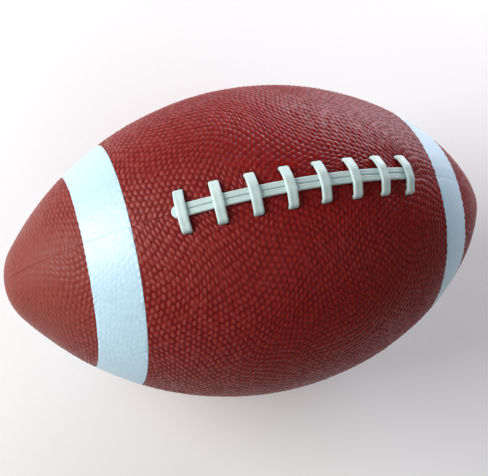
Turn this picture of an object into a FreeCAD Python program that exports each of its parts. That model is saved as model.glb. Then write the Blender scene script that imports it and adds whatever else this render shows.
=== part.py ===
import FreeCAD, Part
import math
import os

import Sketcher

# A laced four-panel ball.  X is the long axis, the lacing is on top (+Z), and the origin is
# the lowest point of the ball, under its middle.  All lengths are millimetres.
#
# The outline is three tangent arcs a side: one long side arc and a small arc at each tip.
# The side arc's centre, the pole, lies on the far side of the long axis.  Whatever follows a
# seam (flange, stitches, lacing) is laid out as angles about that pole.  The word depth means
# the distance below the outer face of the cover.

Vector = FreeCAD.Vector
Rotation = FreeCAD.Rotation
Placement = FreeCAD.Placement

ALONG = Vector(1, 0, 0)
ACROSS = Vector(0, 1, 0)
UP = Vector(0, 0, 1)

# ---------------------------------------------------------------- driving dimensions

half_length = 140.0
half_width = 85.5
tip_radius = 31.0

cover_thickness = 2.0
lining_thickness = 1.4
glue_gap = 0.05
seam_allowance = 6.0

lace_thickness = 2.0
lace_width = 5.0
strand_width = 3.1
lace_pitch_angle = 5.8
lace_crosses = 8
# the row sits a little towards -X: degrees about the pole
lacing_lean = -0.45

# the pole, from the tangency of the side arc and the tip arc
tip_centre = half_length - tip_radius
narrow = half_width - tip_radius
pole_drop = (tip_centre ** 2 - narrow ** 2) / (2 * narrow)
side_radius = half_width + pole_drop

# the layers under the cover, as depths
lining_out = cover_thickness + glue_gap
lining_in = lining_out + lining_thickness
facing_out = lining_in + glue_gap
facing_in = facing_out + 1.2
flange_in = cover_thickness + seam_allowance
patch_in = facing_out + 0.5
bladder_out = patch_in + glue_gap
bladder_wall = 0.7
valve_base_out = bladder_out + bladder_wall + glue_gap
tongue_out = 8.9
tongue_in = 10.4
thread_radius = 0.35
thread_side = lining_in + glue_gap + thread_radius
channel_half = thread_side + thread_radius + 0.3
stitch_depth = cover_thickness + 4.2

sizes = {
    "half_length": half_length,
    "half_width": half_width,
    "tip_centre": tip_centre,
    "pole_drop": pole_drop,
    "side_radius": side_radius,
    "tip_gap": 0.4,
    "full_turn": 360.0,
    "quarter_turn": 90.0,
    "panel_count": 4.0,
    # cover and lining
    "cover_out": 0.0,
    "cover_middle": cover_thickness / 2,
    "cover_in": cover_thickness,
    "cover_thickness": cover_thickness,
    "lining_out": lining_out,
    "lining_middle": lining_out + lining_thickness / 2,
    "lining_in": lining_in,
    "lining_thickness": lining_thickness,
    "flange_in": flange_in,
    "seam_end": 110.0,
    "slit_end": 66.0,
    # seam stitches
    "stitch_radius": side_radius - stitch_depth,
    "thread_radius": thread_radius,
    "thread_side": thread_side,
    "needle_hole_radius": thread_radius + 0.1,
    "needle_hole_length": 2 * channel_half,
    "long_seam_angle": 80.0,
    "long_seam_stitches": 33.0,
    "short_seam_angle": 15.0,
    "short_seam_stitches": 7.0,
    # lace and its holes
    "lace_hole_across": 9.6,
    "lace_hole_length": lace_width + 0.6,
    "lace_hole_width": lace_thickness + 0.6,
    "lace_row_angle": lace_pitch_angle * (lace_crosses - 1),
    "lace_crosses": float(lace_crosses),
    "punch_reach": side_radius + 10.0,
    "slot_length": lace_thickness + 1.2,
    "slot_width": 2 * strand_width + 0.6,
    # parts round the slit
    "facing_out": facing_out,
    "facing_in": facing_in,
    "facing_end": 65.5,
    "facing_angle": 12.4,
    "facing_middle_angle": 6.6,
    "tongue_out": tongue_out,
    "tongue_in": tongue_in,
    "tongue_end": 65.0,
    "tongue_angle": 31.0,
    # bladder
    "bladder_out": bladder_out,
    "bladder_in": bladder_out + bladder_wall,
    "channel_half_outer": channel_half,
    "channel_half_inner": channel_half + bladder_wall,
    "channel_bottom_outer": flange_in + 0.3,
    "channel_bottom_inner": flange_in + 0.3 + bladder_wall,
    "channel_end_outer": 112.0,
    "channel_end_inner": 112.0 + bladder_wall,
    "well_bottom_outer": tongue_in + 0.2,
    "well_bottom_inner": tongue_in + 0.2 + bladder_wall,
    "well_end_outer": 84.0,
    "well_end_inner": 84.0 + bladder_wall,
    "well_angle_outer": 34.0,
    "well_angle_inner": 35.0,
    "cutter_top": -2.0,
    # stripes
    "stripe_inner_end": 81.9,
    "stripe_outer_end": 102.8,
    "stripe_out": -0.12,
    "stripe_angle": 89.2,
    # valve
    "valve_hole_radius": 4.0,
    "patch_out": facing_out,
    "patch_in": patch_in,
    "patch_radius": 18.0,
    "valve_base_out": valve_base_out,
    "valve_base_in": valve_base_out + 1.2,
    "valve_base_radius": 13.0,
    "valve_sheet_end": 26.0,
    "valve_sheet_angle": 40.0,
    "neck_radius": 3.8,
    "neck_top": half_width - 0.6,
    "barrel_radius": 6.0,
    "barrel_top": half_width - valve_base_out - 0.6,
    "barrel_bottom": half_width - 20.0,
    "plug_seat_radius": 2.65,
    "collar_seat_radius": 3.45,
    "collar_seat_top": half_width - 11.0,
    "collar_seat_bottom": half_width - 13.2,
    "plug_radius": 2.6,
    "plug_top": half_width - 0.8,
    "plug_bottom": half_width - 17.0,
    "collar_radius": 3.4,
    "collar_top": half_width - 11.05,
    "collar_bottom": half_width - 13.15,
    "needle_channel_radius": 1.0,
}

doc = FreeCAD.newDocument("laced_ball")
sheet = doc.addObject("Spreadsheet::Sheet", "dims")
for row, (alias, value) in enumerate(sizes.items(), start=1):
    cell = "A%d" % row
    sheet.set(cell, "%.6g" % value)
    sheet.setAlias(cell, alias)
doc.recompute()

pieces = []


def keep(piece, label):
    """Names a finished sub-part and lists it for writing."""
    piece.Label = label
    pieces.append(piece)
    return piece


def lifted(turn_about_x=0.0):
    """The ball's own frame: centred on its middle, turned about the long axis."""
    return Placement(Vector(0, 0, half_width), Rotation(ALONG, turn_about_x))


def pole_frame(turn_about_x=0.0, tilt=0.0):
    """A frame on the pole of the seam at that turn, +Z leaning by tilt towards +X."""
    down = Placement(Vector(0, 0, -pole_drop), Rotation(ACROSS, tilt))
    return lifted(turn_about_x).multiply(down)


# ---------------------------------------------------------------- sketch helpers


def new_body(name):
    return doc.addObject("PartDesign::Body", name)


def new_sketch(body, name, role, offset=None):
    plane = [f for f in body.Origin.OriginFeatures if f.Role == role][0]
    sketch = body.newObject("Sketcher::SketchObject", name)
    sketch.AttachmentSupport = [(plane, "")]
    sketch.MapMode = "FlatFace"
    if offset is not None:
        sketch.AttachmentOffset = offset
    return sketch


def bind(sketch, constraint, cell):
    index = sketch.addConstraint(constraint)
    sketch.setExpression("Constraints[%d]" % index, "dims.%s" % cell)


def set_x(sketch, geometry, point, cell, side=1):
    """Holds a point's x at side times a cell; set_y does the same for y."""
    ends = (-1, 1, geometry, point) if side > 0 else (geometry, point, -1, 1)
    bind(sketch, Sketcher.Constraint("DistanceX", *ends, sizes[cell]), cell)


def set_y(sketch, geometry, point, cell, side=1):
    ends = (-1, 1, geometry, point) if side > 0 else (geometry, point, -1, 1)
    bind(sketch, Sketcher.Constraint("DistanceY", *ends, sizes[cell]), cell)


def bind_depth(sketch, arc, cell):
    """Sets a side arc's radius from a depth."""
    radius = side_radius - sizes[cell]
    index = sketch.addConstraint(Sketcher.Constraint("Radius", arc, radius))
    sketch.setExpression("Constraints[%d]" % index, "dims.side_radius - dims.%s" % cell)


def join(sketch, first, first_point, second, second_point):
    sketch.addConstraint(
        Sketcher.Constraint("Coincident", first, first_point, second, second_point)
    )


def add_line(sketch, start, end):
    return sketch.addGeometry(Part.LineSegment(Vector(*start, 0), Vector(*end, 0)))


def add_arc(sketch, centre, radius, start, end):
    circle = Part.Circle(Vector(*centre, 0), UP, radius)
    return sketch.addGeometry(Part.ArcOfCircle(circle, start, end))


def add_circle(sketch, across, up, radius_cell, across_cell=None, up_cell=None):
    """A circle whose centre lies on an axis or is held by cells."""
    circle = sketch.addGeometry(Part.Circle(Vector(across, up, 0), UP, sizes[radius_cell]))
    bind(sketch, Sketcher.Constraint("Radius", circle, sizes[radius_cell]), radius_cell)
    if across_cell:
        set_x(sketch, circle, 3, across_cell, math.copysign(1, across))
    if up_cell:
        set_y(sketch, circle, 3, up_cell)
    if not across_cell and not up_cell:
        join(sketch, circle, 3, -1, 1)
    elif not across_cell:
        sketch.addConstraint(Sketcher.Constraint("PointOnObject", circle, 3, -2))
    elif not up_cell:
        sketch.addConstraint(Sketcher.Constraint("PointOnObject", circle, 3, -1))
    return circle


def ball_line(sketch, depth_cell, end_height):
    """The whole outline of the ball at a depth, from one tip to the other.

    The three arcs are tangent, so their centres and the side radius settle them.
    end_height is the cell that holds how far from the long axis the line stops.
    """
    depth = sizes[depth_cell]
    turn = math.atan2(tip_centre, pole_drop)
    radius = tip_radius - depth
    stop = math.asin(sizes[end_height] / radius) if end_height else 0.0
    right = add_arc(sketch, (tip_centre, 0), radius, stop, math.pi / 2 - turn)
    side = add_arc(
        sketch, (0, -pole_drop), side_radius - depth, math.pi / 2 - turn, math.pi / 2 + turn
    )
    left = add_arc(sketch, (-tip_centre, 0), radius, math.pi / 2 + turn, math.pi - stop)
    sketch.addConstraint(Sketcher.Constraint("Tangent", right, 2, side, 1))
    sketch.addConstraint(Sketcher.Constraint("Tangent", side, 2, left, 1))
    sketch.addConstraint(Sketcher.Constraint("PointOnObject", side, 3, -2))
    set_y(sketch, side, 3, "pole_drop", -1)
    bind_depth(sketch, side, depth_cell)
    for tip, end, direction in ((right, 1, 1), (left, 2, -1)):
        sketch.addConstraint(Sketcher.Constraint("PointOnObject", tip, 3, -1))
        set_x(sketch, tip, 3, "tip_centre", direction)
        if end_height:
            set_y(sketch, tip, end, end_height)
        else:
            sketch.addConstraint(Sketcher.Constraint("PointOnObject", tip, end, -1))
    return right, left


def shell_outline(sketch, outer, inner):
    """The wall between two depths, cut off just short of the long axis at each tip."""
    outer_right, outer_left = ball_line(sketch, outer, "tip_gap")
    inner_right, inner_left = ball_line(sketch, inner, "tip_gap")
    gap = sizes["tip_gap"]
    for side, outer_tip, inner_tip, end in (
        (1, outer_right, inner_right, 1),
        (-1, outer_left, inner_left, 2),
    ):
        start = (side * (half_length - sizes[outer]), gap)
        stop = (side * (half_length - sizes[inner]), gap)
        line = add_line(sketch, start, stop)
        join(sketch, line, 1, outer_tip, end)
        join(sketch, line, 2, inner_tip, end)


def arc_band(sketch, outer, inner, low, high):
    """A closed band along the side arc, between two depths and two stations.

    low and high are (side, cell): the station is side times the cell.
    """
    corners = []
    stations = [low[0] * sizes[low[1]], high[0] * sizes[high[1]]]
    for depth_cell in (outer, inner):
        radius = side_radius - sizes[depth_cell]
        angles = [math.acos(x / radius) for x in stations]
        arc = add_arc(sketch, (0, -pole_drop), radius, angles[1], angles[0])
        sketch.addConstraint(Sketcher.Constraint("PointOnObject", arc, 3, -2))
        set_y(sketch, arc, 3, "pole_drop", -1)
        bind_depth(sketch, arc, depth_cell)
        set_x(sketch, arc, 1, high[1], high[0])
        set_x(sketch, arc, 2, low[1], low[0])
        heights = [radius * math.sin(angle) - pole_drop for angle in angles]
        corners.append((arc, heights))
    (outer_arc, outer_heights), (inner_arc, inner_heights) = corners
    for end, index in ((1, 1), (2, 0)):
        x = stations[index]
        line = add_line(sketch, (x, outer_heights[index]), (x, inner_heights[index]))
        join(sketch, line, 1, outer_arc, end)
        join(sketch, line, 2, inner_arc, end)


def stepped_outline(sketch, corners):
    """A closed outline of straight lines through corners given as pairs of cells."""
    points = [(sizes[across], sizes[up]) for across, up in corners]
    lines = []
    for index, point in enumerate(points):
        lines.append(add_line(sketch, point, points[(index + 1) % len(points)]))
    for index, (across, up) in enumerate(corners):
        join(sketch, lines[index - 1], 2, lines[index], 1)
        set_x(sketch, lines[index], 1, across)
        set_y(sketch, lines[index], 1, up)


# ---------------------------------------------------------------- feature helpers


def feature(body, kind, name, profile, **settings):
    made = body.newObject("PartDesign::" + kind, name)
    made.Profile = profile
    profile.Visibility = False
    for key, value in settings.items():
        setattr(made, key, value)
    return made


def revolve(body, kind, name, sketch, axis, angle_cell, both_ways=False):
    made = feature(body, kind, name, sketch, ReferenceAxis=(sketch, [axis]), Midplane=both_ways)
    made.setExpression("Angle", "dims.%s" % angle_cell)
    return made


def extrude(body, kind, name, sketch, length, both_ways=False, reversed_way=False):
    made = feature(body, kind, name, sketch, Midplane=both_ways, Reversed=reversed_way)
    made.setExpression("Length", length)
    return made


def repeat_round(body, name, original, sketch, axis, angle_cell, count_cell):
    pattern = body.newObject("PartDesign::PolarPattern", name)
    pattern.Originals = [original]
    pattern.Axis = (sketch, [axis])
    pattern.setExpression("Angle", "dims.%s" % angle_cell)
    pattern.setExpression("Occurrences", "dims.%s" % count_cell)
    body.Tip = pattern
    return pattern


def cut(name, base, tool):
    result = doc.addObject("Part::Cut", name)
    result.Base = base
    result.Tool = tool
    return result


def mirrored(name, source, normal):
    result = doc.addObject("Part::Mirroring", name)
    result.Source = source
    result.Base = Vector(0, 0, 0)
    result.Normal = normal
    return result


# ---------------------------------------------------------------- punches
# One set of tools pierces every layer, so the holes line up through all of them.

SLOT_DEPTH = 12.0
DRILL_DEPTH = 30.0
# how far a cutting tool reaches past what it cuts
SPARE = 10.0


def stitch_needles(name, angle_cell, count_cell, placement):
    """A fan of thin pins about the pole, one for each stitch of a seam."""
    body = new_body(name)
    half_span = math.radians(sizes[angle_cell] / 2)
    radius = sizes["stitch_radius"]
    sketch = new_sketch(body, name + "_pin", "XZ_Plane")
    pin = Vector(radius * math.sin(half_span), radius * math.cos(half_span), 0)
    circle = sketch.addGeometry(Part.Circle(pin, UP, sizes["needle_hole_radius"]))
    bind(
        sketch,
        Sketcher.Constraint("Radius", circle, sizes["needle_hole_radius"]),
        "needle_hole_radius",
    )
    hold_on_seam(sketch, circle, angle_cell)
    pad = extrude(body, "Pad", name + "_pad", sketch, "dims.needle_hole_length", True)
    repeat_round(body, name + "_row", pad, sketch, "N_Axis", angle_cell, count_cell)
    body.Placement = placement
    return body


def hold_on_seam(sketch, circle, angle_cell):
    """Holds a circle's centre on the stitch line, half the seam's angle from the middle."""
    for kind, function in (("DistanceX", "sin"), ("DistanceY", "cos")):
        half_span = math.radians(sizes[angle_cell] / 2)
        value = sizes["stitch_radius"] * getattr(math, function)(half_span)
        index = sketch.addConstraint(Sketcher.Constraint(kind, -1, 1, circle, 3, value))
        formula = "dims.stitch_radius * %s(dims.%s / 2 * 1deg)" % (function, angle_cell)
        sketch.setExpression("Constraints[%d]" % index, formula)


def lace_punch():
    """Two rows of oval punches, one each side of the slit."""
    body = new_body("lace_punch")
    first = Rotation(ACROSS, -sizes["lace_row_angle"] / 2)
    sketch = new_sketch(body, "lace_oval", "XY_Plane", Placement(Vector(0, 0, 0), first))
    half_run = (sizes["lace_hole_length"] - sizes["lace_hole_width"]) / 2
    radius = sizes["lace_hole_width"] / 2
    for side in (1, -1):
        y = side * sizes["lace_hole_across"]
        right = add_arc(sketch, (half_run, y), radius, -math.pi / 2, math.pi / 2)
        left = add_arc(sketch, (-half_run, y), radius, math.pi / 2, 3 * math.pi / 2)
        top = add_line(sketch, (half_run, y + radius), (-half_run, y + radius))
        bottom = add_line(sketch, (-half_run, y - radius), (half_run, y - radius))
        sketch.addConstraint(Sketcher.Constraint("Tangent", right, 2, top, 1))
        sketch.addConstraint(Sketcher.Constraint("Tangent", top, 2, left, 1))
        sketch.addConstraint(Sketcher.Constraint("Tangent", left, 2, bottom, 1))
        sketch.addConstraint(Sketcher.Constraint("Tangent", bottom, 2, right, 1))
        sketch.addConstraint(Sketcher.Constraint("Horizontal", top))
        sketch.addConstraint(Sketcher.Constraint("Symmetric", right, 3, left, 3, -2))
        set_y(sketch, right, 3, "lace_hole_across", side)
        index = sketch.addConstraint(Sketcher.Constraint("Radius", right, radius))
        sketch.setExpression("Constraints[%d]" % index, "dims.lace_hole_width / 2")
        index = sketch.addConstraint(Sketcher.Constraint("DistanceX", -1, 1, right, 3, half_run))
        formula = "(dims.lace_hole_length - dims.lace_hole_width) / 2"
        sketch.setExpression("Constraints[%d]" % index, formula)
    pad = extrude(body, "Pad", "lace_oval_pad", sketch, "dims.punch_reach")
    repeat_round(body, "lace_row", pad, sketch, "V_Axis", "lace_row_angle", "lace_crosses")
    body.Placement = pole_frame(0, lacing_lean)
    return body


def slot_punch():
    """The slot under the last cross, where both lengthwise strands go in."""
    box = doc.addObject("Part::Box", "slot_punch")
    box.setExpression("Length", "dims.slot_length")
    box.setExpression("Width", "dims.slot_width")
    box.Height = SLOT_DEPTH + SPARE
    bottom = side_radius - SLOT_DEPTH
    corner = Vector(-sizes["slot_length"] / 2, -sizes["slot_width"] / 2, bottom)
    tilted = pole_frame(0, lacing_lean + sizes["lace_row_angle"] / 2)
    box.Placement = tilted.multiply(Placement(corner, Rotation()))
    return box


def valve_drill(turn):
    drill = doc.addObject("Part::Cylinder", "valve_drill")
    drill.setExpression("Radius", "dims.valve_hole_radius")
    drill.Height = DRILL_DEPTH + SPARE
    below = Placement(Vector(0, 0, half_width - DRILL_DEPTH), Rotation())
    drill.Placement = lifted(turn).multiply(below)
    return drill


VALVE_TURN = -135.0
SEAM_TURNS = {"far": -90.0, "near": 90.0, "bottom": 180.0}
SHORT_SEAM_TILT = {"left": -32.5, "right": 32.5}

punches = doc.addObject("Part::Compound", "punches")
tools = [lace_punch(), slot_punch(), valve_drill(VALVE_TURN)]
for seam, turn in SEAM_TURNS.items():
    frame = pole_frame(turn)
    tools.append(
        stitch_needles("needles_" + seam, "long_seam_angle", "long_seam_stitches", frame)
    )
for seam, tilt in SHORT_SEAM_TILT.items():
    frame = pole_frame(0, tilt)
    tools.append(
        stitch_needles("needles_" + seam, "short_seam_angle", "short_seam_stitches", frame)
    )
punches.Links = tools


# ---------------------------------------------------------------- cover and lining panels


def seam_bands(sketch, outer, inner, slit):
    """The outline of a turned-in edge: in one stretch, or in two beyond the slit."""
    if slit:
        arc_band(sketch, outer, inner, (-1, "seam_end"), (-1, "slit_end"))
        arc_band(sketch, outer, inner, (1, "slit_end"), (1, "seam_end"))
    else:
        arc_band(sketch, outer, inner, (-1, "seam_end"), (1, "seam_end"))


def gore(name, outer, inner, turn):
    """A quarter of the wall between two depths, from the XY plane round to the XZ plane."""
    body = new_body(name)
    sketch = new_sketch(body, name + "_wall", "XY_Plane")
    shell_outline(sketch, outer, inner)
    revolve(body, "Revolution", name + "_turn", sketch, "H_Axis", "quarter_turn")
    body.Placement = lifted(turn)
    return body


def cover_panel(label, turn, slit_side):
    """A leather panel with its edges turned in along both seams."""
    name = label + "_blank"
    body = gore(name, "cover_out", "cover_in", turn)
    for side, role in (("first", "XZ_Plane"), ("second", "XY_Plane")):
        sketch = new_sketch(body, "%s_%s" % (name, side), role)
        seam_bands(sketch, "cover_middle", "flange_in", side == slit_side)
        backwards = role == "XZ_Plane"
        pad_name = "%s_%s_flange" % (name, side)
        extrude(body, "Pad", pad_name, sketch, "dims.cover_thickness", False, backwards)
    return keep(cut(label, body, punches), label)


def lining_panel(label, turn, slit_side):
    """A fabric panel inside the leather one, its edges turned in beside the leather's."""
    name = label + "_blank"
    body = gore(name, "lining_out", "lining_in", turn)
    reach = half_length + SPARE
    for side, role in (("first", "XZ_Plane"), ("second", "XY_Plane")):
        backwards = role == "XZ_Plane"
        trim = new_sketch(body, "%s_%s_trim" % (name, side), role)
        corners = [(-reach, -1), (reach, -1), (reach, reach), (-reach, reach)]
        for index, corner in enumerate(corners):
            add_line(trim, corner, corners[(index + 1) % 4])
        for index in range(4):
            join(trim, index, 2, (index + 1) % 4, 1)
            trim.addConstraint(Sketcher.Constraint("Block", index))
        pocket_name = "%s_%s_edge" % (name, side)
        extrude(body, "Pocket", pocket_name, trim, "dims.lining_out", False, not backwards)
    for side, role in (("first", "XZ_Plane"), ("second", "XY_Plane")):
        backwards = role == "XZ_Plane"
        lift = Vector(0, 0, -lining_out if backwards else lining_out)
        sketch = new_sketch(body, "%s_%s" % (name, side), role, Placement(lift, Rotation()))
        seam_bands(sketch, "lining_middle", "flange_in", side == slit_side)
        pad_name = "%s_%s_flange" % (name, side)
        extrude(body, "Pad", pad_name, sketch, "dims.lining_thickness", False, backwards)
    return keep(cut(label, body, punches), label)


PANELS = (
    ("top_far", 0.0, "first"),
    ("top_near", 90.0, "second"),
    ("bottom_near", 180.0, None),
    ("bottom_far", -90.0, None),
)
for panel_name, turn, slit_side in PANELS:
    cover_panel("cover_" + panel_name, turn, slit_side)
for panel_name, turn, slit_side in PANELS:
    lining_panel("lining_" + panel_name, turn, slit_side)


# ---------------------------------------------------------------- seam threads


def seam_thread(label, angle_cell, count_cell, placement):
    """A lock-stitched seam: a thread along each side, joined through every hole."""
    body = new_body(label)
    runs = new_sketch(body, label + "_runs", "YZ_Plane")
    for side in (1, -1):
        add_circle(
            runs,
            side * thread_side,
            sizes["stitch_radius"],
            "thread_radius",
            "thread_side",
            "stitch_radius",
        )
    revolve(body, "Revolution", label + "_sides", runs, "H_Axis", angle_cell, True)
    crossing = new_sketch(body, label + "_crossing", "XZ_Plane")
    half_span = math.radians(sizes[angle_cell] / 2)
    radius = sizes["stitch_radius"]
    centre = Vector(radius * math.sin(half_span), radius * math.cos(half_span), 0)
    circle = crossing.addGeometry(Part.Circle(centre, UP, thread_radius))
    bind(crossing, Sketcher.Constraint("Radius", circle, thread_radius), "thread_radius")
    hold_on_seam(crossing, circle, angle_cell)
    pad = extrude(body, "Pad", label + "_lock", crossing, "2 * dims.thread_side", True)
    repeat_round(body, label + "_locks", pad, crossing, "N_Axis", angle_cell, count_cell)
    body.Placement = placement
    return keep(body, label)


for seam, turn in SEAM_TURNS.items():
    frame = pole_frame(turn)
    seam_thread("seam_thread_" + seam, "long_seam_angle", "long_seam_stitches", frame)
for seam, tilt in SHORT_SEAM_TILT.items():
    frame = pole_frame(0, tilt)
    seam_thread("seam_thread_top_" + seam, "short_seam_angle", "short_seam_stitches", frame)


# ---------------------------------------------------------------- sheets that follow the ball


def curved_sheet(name, outer, inner, low, high, angle_cell, turn):
    """A sheet between two depths and two stations, centred on the ball's +Z side."""
    body = new_body(name)
    sketch = new_sketch(body, name + "_section", "XZ_Plane")
    arc_band(sketch, outer, inner, low, high)
    made = revolve(body, "Revolution", name + "_turn", sketch, "H_Axis", angle_cell, True)
    body.Placement = lifted(turn)
    return body, sketch, made


def lace_facings():
    """Strips inside the lining that back the lace holes."""
    ends = (-1, "facing_end"), (1, "facing_end")
    for side, turn in (("far", -1), ("near", 1)):
        label = "lace_facing_" + side
        lean = turn * sizes["facing_middle_angle"]
        strip = curved_sheet(
            label + "_blank", "facing_out", "facing_in", *ends, "facing_angle", lean
        )[0]
        keep(cut(label, strip, punches), label)


def tongue():
    """The pad that lies between the lace and the bladder."""
    ends = (-1, "tongue_end"), (1, "tongue_end")
    pad = curved_sheet("lace_tongue", "tongue_out", "tongue_in", *ends, "tongue_angle", 0)[0]
    keep(pad, "lace_tongue")


def stripes():
    """A painted band round each end, one film to a panel."""
    ends = (1, "stripe_inner_end"), (1, "stripe_outer_end")
    right, sketch, film = curved_sheet(
        "stripe_right", "stripe_out", "cover_out", *ends, "stripe_angle", sizes["quarter_turn"] / 2
    )
    repeat_round(right, "stripe_films", film, sketch, "H_Axis", "full_turn", "panel_count")
    keep(right, "stripe_right")
    keep(mirrored("stripe_left", right, ALONG), "stripe_left")


lace_facings()
tongue()
stripes()


# ---------------------------------------------------------------- bladder


def bladder_form(name, face, depth_cell):
    """The bladder's outer or inner face as a solid, hollowed for the seams and the lacing."""
    body = new_body(name)
    outline = new_sketch(body, name + "_outline", "XZ_Plane")
    right, left = ball_line(outline, depth_cell, None)
    reach = half_length - sizes[depth_cell]
    axis = add_line(outline, (-reach, 0), (reach, 0))
    join(outline, axis, 1, left, 2)
    join(outline, axis, 2, right, 1)
    revolve(body, "Revolution", name + "_turn", outline, "H_Axis", "full_turn")
    channel = new_sketch(body, name + "_channel", "XZ_Plane")
    end = "channel_end_" + face
    arc_band(channel, "cutter_top", "channel_bottom_" + face, (-1, end), (1, end))
    width = "2 * dims.channel_half_" + face
    pocket = extrude(body, "Pocket", name + "_seam", channel, width, True)
    repeat_round(body, name + "_seams", pocket, channel, "H_Axis", "full_turn", "panel_count")
    doc.recompute()
    well = new_sketch(body, name + "_well", "XZ_Plane")
    end = "well_end_" + face
    arc_band(well, "cutter_top", "well_bottom_" + face, (-1, end), (1, end))
    revolve(body, "Groove", name + "_lacing", well, "H_Axis", "well_angle_" + face, True)
    body.Placement = lifted()
    return body


def bladder():
    outer = bladder_form("bladder_outer", "outer", "bladder_out")
    inner = bladder_form("bladder_inner", "inner", "bladder_in")
    hollow = cut("bladder_hollow", outer, inner)
    keep(cut("bladder", hollow, tools[2]), "bladder")


bladder()


# ---------------------------------------------------------------- valve
# Built on the ball's middle with the valve's axis as +Z, then turned into its panel.


def curved_disc(name, outer, inner, radius_cell):
    """A round patch that follows the ball between two depths."""
    ends = (-1, "valve_sheet_end"), (1, "valve_sheet_end")
    sheet_body = curved_sheet(
        name + "_sheet", outer, inner, *ends, "valve_sheet_angle", VALVE_TURN
    )[0]
    trim = doc.addObject("Part::Cylinder", name + "_trim")
    trim.setExpression("Radius", "dims.%s" % radius_cell)
    trim.setExpression("Height", "dims.half_width")
    trim.Placement = lifted(VALVE_TURN)
    disc = doc.addObject("Part::Common", name)
    disc.Base = sheet_body
    disc.Tool = trim
    return disc


def turned_part(name, corners):
    """A piece turned about the valve's axis."""
    body = new_body(name)
    sketch = new_sketch(body, name + "_profile", "XZ_Plane")
    stepped_outline(sketch, corners)
    revolve(body, "Revolution", name + "_turn", sketch, "V_Axis", "full_turn")
    body.Placement = lifted(VALVE_TURN)
    return body


def valve():
    patch = curved_disc("patch_disc", "patch_out", "patch_in", "patch_radius")
    keep(cut("valve_patch", patch, tools[2]), "valve_patch")

    stem = turned_part(
        "valve_stem",
        (
            ("plug_seat_radius", "neck_top"),
            ("neck_radius", "neck_top"),
            ("neck_radius", "barrel_top"),
            ("barrel_radius", "barrel_top"),
            ("barrel_radius", "barrel_bottom"),
            ("plug_seat_radius", "barrel_bottom"),
            ("plug_seat_radius", "collar_seat_bottom"),
            ("collar_seat_radius", "collar_seat_bottom"),
            ("collar_seat_radius", "collar_seat_top"),
            ("plug_seat_radius", "collar_seat_top"),
        ),
    )
    base = curved_disc("valve_base", "valve_base_out", "valve_base_in", "valve_base_radius")
    ring = cut("valve_base_ring", base, tools[2])
    housing = doc.addObject("Part::Fuse", "valve_housing")
    housing.Base = stem
    housing.Tool = ring
    keep(housing, "valve_housing")

    plug = turned_part(
        "valve_plug",
        (
            ("needle_channel_radius", "plug_top"),
            ("plug_radius", "plug_top"),
            ("plug_radius", "collar_top"),
            ("collar_radius", "collar_top"),
            ("collar_radius", "collar_bottom"),
            ("plug_radius", "collar_bottom"),
            ("plug_radius", "plug_bottom"),
            ("needle_channel_radius", "plug_bottom"),
        ),
    )
    keep(plug, "valve_plug")


valve()


# ---------------------------------------------------------------- lace
# One flat lace in the pole's frame: it zigzags through the eight pairs of holes, with the
# crosses outside, comes up through the slot at the right, doubles back at the left end and
# goes in again through the slot.


def rounded_path(corners, radii):
    """Straight runs through corners, joined by tangent arcs at the inner ones."""
    points = [Vector(*corner) for corner in corners]
    edges = []
    start = points[0]
    for index in range(1, len(points) - 1):
        here = points[index]
        back = (points[index - 1] - here).normalize()
        ahead = (points[index + 1] - here).normalize()
        half_angle = back.getAngle(ahead) / 2
        radius = radii[index - 1]
        trim = radius / math.tan(half_angle)
        first = here + back * trim
        last = here + ahead * trim
        inward = (back + ahead).normalize()
        middle = here + inward * (radius / math.sin(half_angle) - radius)
        edges.append(Part.LineSegment(start, first).toShape())
        edges.append(Part.Arc(first, middle, last).toShape())
        start = last
    edges.append(Part.LineSegment(start, points[-1]).toShape())
    return Part.Wire(edges)


def flat_section(centre, wide, thin, width, thickness):
    """A lace's section: flat faces and round edges, wide along one direction."""
    round_edge = thickness / 2
    half_flat = width / 2 - round_edge
    corner = [
        centre + wide * (side * half_flat) + thin * (face * round_edge)
        for side, face in ((1, 1), (1, -1), (-1, -1), (-1, 1))
    ]
    right = centre + wide * (width / 2)
    left = centre - wide * (width / 2)
    return Part.Wire(
        [
            Part.Arc(corner[0], right, corner[1]).toShape(),
            Part.LineSegment(corner[1], corner[2]).toShape(),
            Part.Arc(corner[2], left, corner[3]).toShape(),
            Part.LineSegment(corner[3], corner[0]).toShape(),
        ]
    )


def sweep(path, section):
    return path.makePipeShell([section], True, False)


def tilt(shape, degrees):
    """Swings a shape about the pole's axis, from the middle of the row towards +X."""
    turned = shape.copy()
    turned.rotate(Vector(0, 0, 0), ACROSS, degrees)
    return turned


def swing_point(point, degrees):
    return Rotation(ACROSS, degrees).multVec(Vector(*point))


def inner_run(start, stop):
    """A straight stretch of lace under the facings, flat side towards the pole's axis."""
    direction = (stop - start).normalize()
    middle = (start + stop) * 0.5
    wide = direction.cross(Vector(middle.x, 0, middle.z)).normalize()
    thin = wide.cross(direction).normalize()
    section = flat_section(start, wide, thin, lace_width, lace_thickness)
    return sweep(Part.Wire([Part.LineSegment(start, stop).toShape()]), section)


def fold(point, degrees):
    """Where the lace turns under: a round, slightly wider and thicker than the lace."""
    bulge = 0.3
    thickness = lace_thickness + 2 * bulge
    base = Vector(*point) - UP * (thickness / 2)
    return tilt(Part.makeCylinder(lace_width / 2 + bulge, thickness, base), degrees)


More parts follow.
